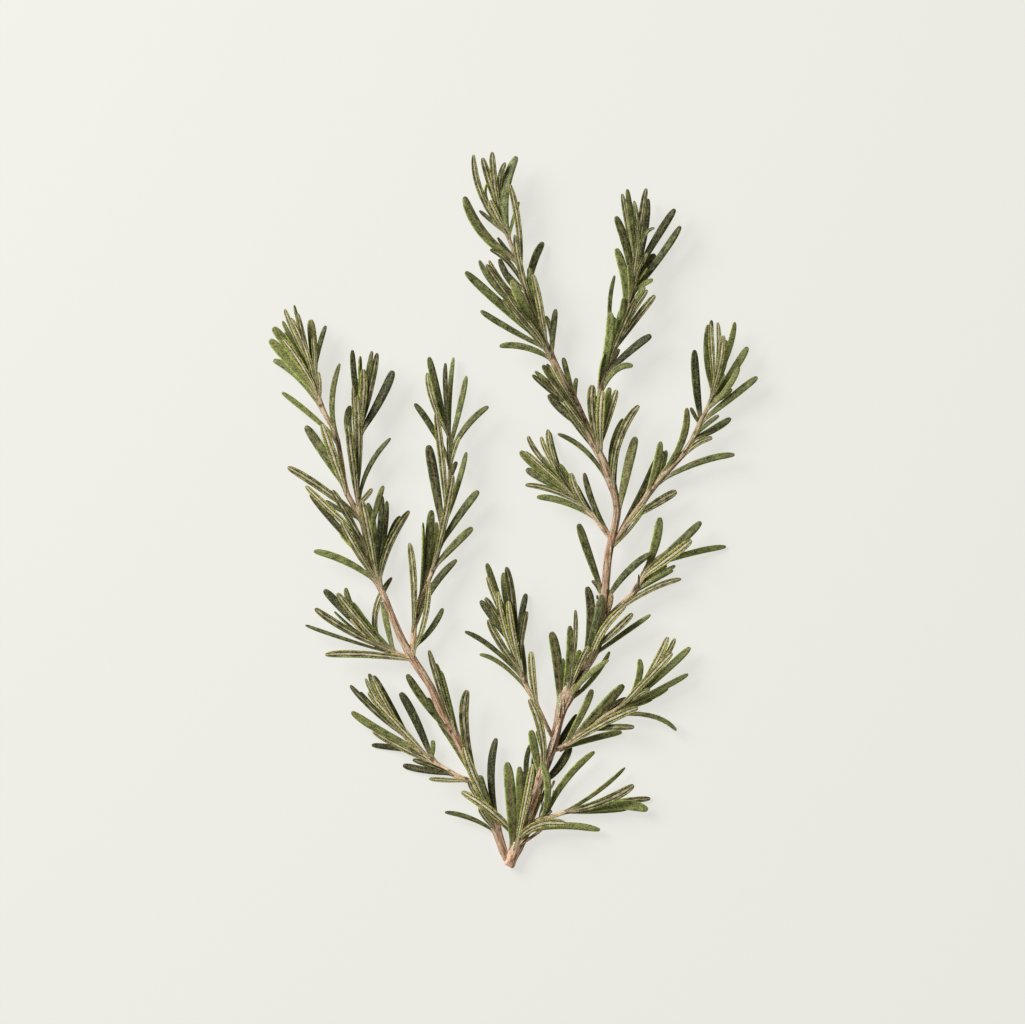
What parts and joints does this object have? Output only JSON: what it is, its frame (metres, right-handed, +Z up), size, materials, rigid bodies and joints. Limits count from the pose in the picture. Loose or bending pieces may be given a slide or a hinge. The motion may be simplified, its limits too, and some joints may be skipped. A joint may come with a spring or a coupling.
{
  "type": "rosemary bundle",
  "caption": "Cut woody rosemary branch, forked at its cut end, with leafy side shoots, lying flat.",
  "frame": {"origin": "on the table, under the middle of the branch's bounding box", "axes": "+Z up from the table; +Y along the branch, from its cut end towards its tips; +X to the right, seen from above with the cut end nearest"},
  "size_m": [0.1952, 0.2865, 0.0193],
  "materials": {
    "woody_bark": "dry fissured bark, matt",
    "young_stem": "young ridged stem with fine down, matt",
    "leaf": "leathery leaf with rolled margins, satin above and felted beneath"
  },
  "bodies": {
    "root": {"main_stem": "woody_bark", "left_stem": "woody_bark", "inner_left_stem": "young_stem", "long_left_stem": "young_stem", "left_side_stem": "young_stem", "low_left_stem": "young_stem", "inner_stem": "young_stem", "mid_left_stem": "young_stem", "top_right_stem": "young_stem", "right_upper_stem": "young_stem", "right_mid_stem": "young_stem", "right_low_stem": "young_stem", "base_right_stem": "young_stem", "base_leaves": "leaf", "lower_main_leaves": "leaf", "middle_main_leaves": "leaf", "bend_leaves": "leaf", "upper_main_leaves": "leaf", "crown_lower_leaves": "leaf", "crown_tip_leaves": "leaf", "left_lower_leaves": "leaf", "left_middle_leaves": "leaf", "left_upper_leaves": "leaf", "left_tip_leaves": "leaf", "inner_left_leaves": "leaf", "long_left_lower_leaves": "leaf", "long_left_upper_leaves": "leaf", "left_side_leaves": "leaf", "low_left_leaves": "leaf", "inner_leaves": "leaf", "mid_left_leaves": "leaf", "top_right_base_leaves": "leaf", "top_right_lower_leaves": "leaf", "top_right_tip_leaves": "leaf", "right_upper_leaves": "leaf", "right_tip_leaves": "leaf", "right_mid_leaves": "leaf", "right_low_leaves": "leaf", "right_low_tip_leaves": "leaf", "base_right_leaves": "leaf"}
  },
  "joints": []
}
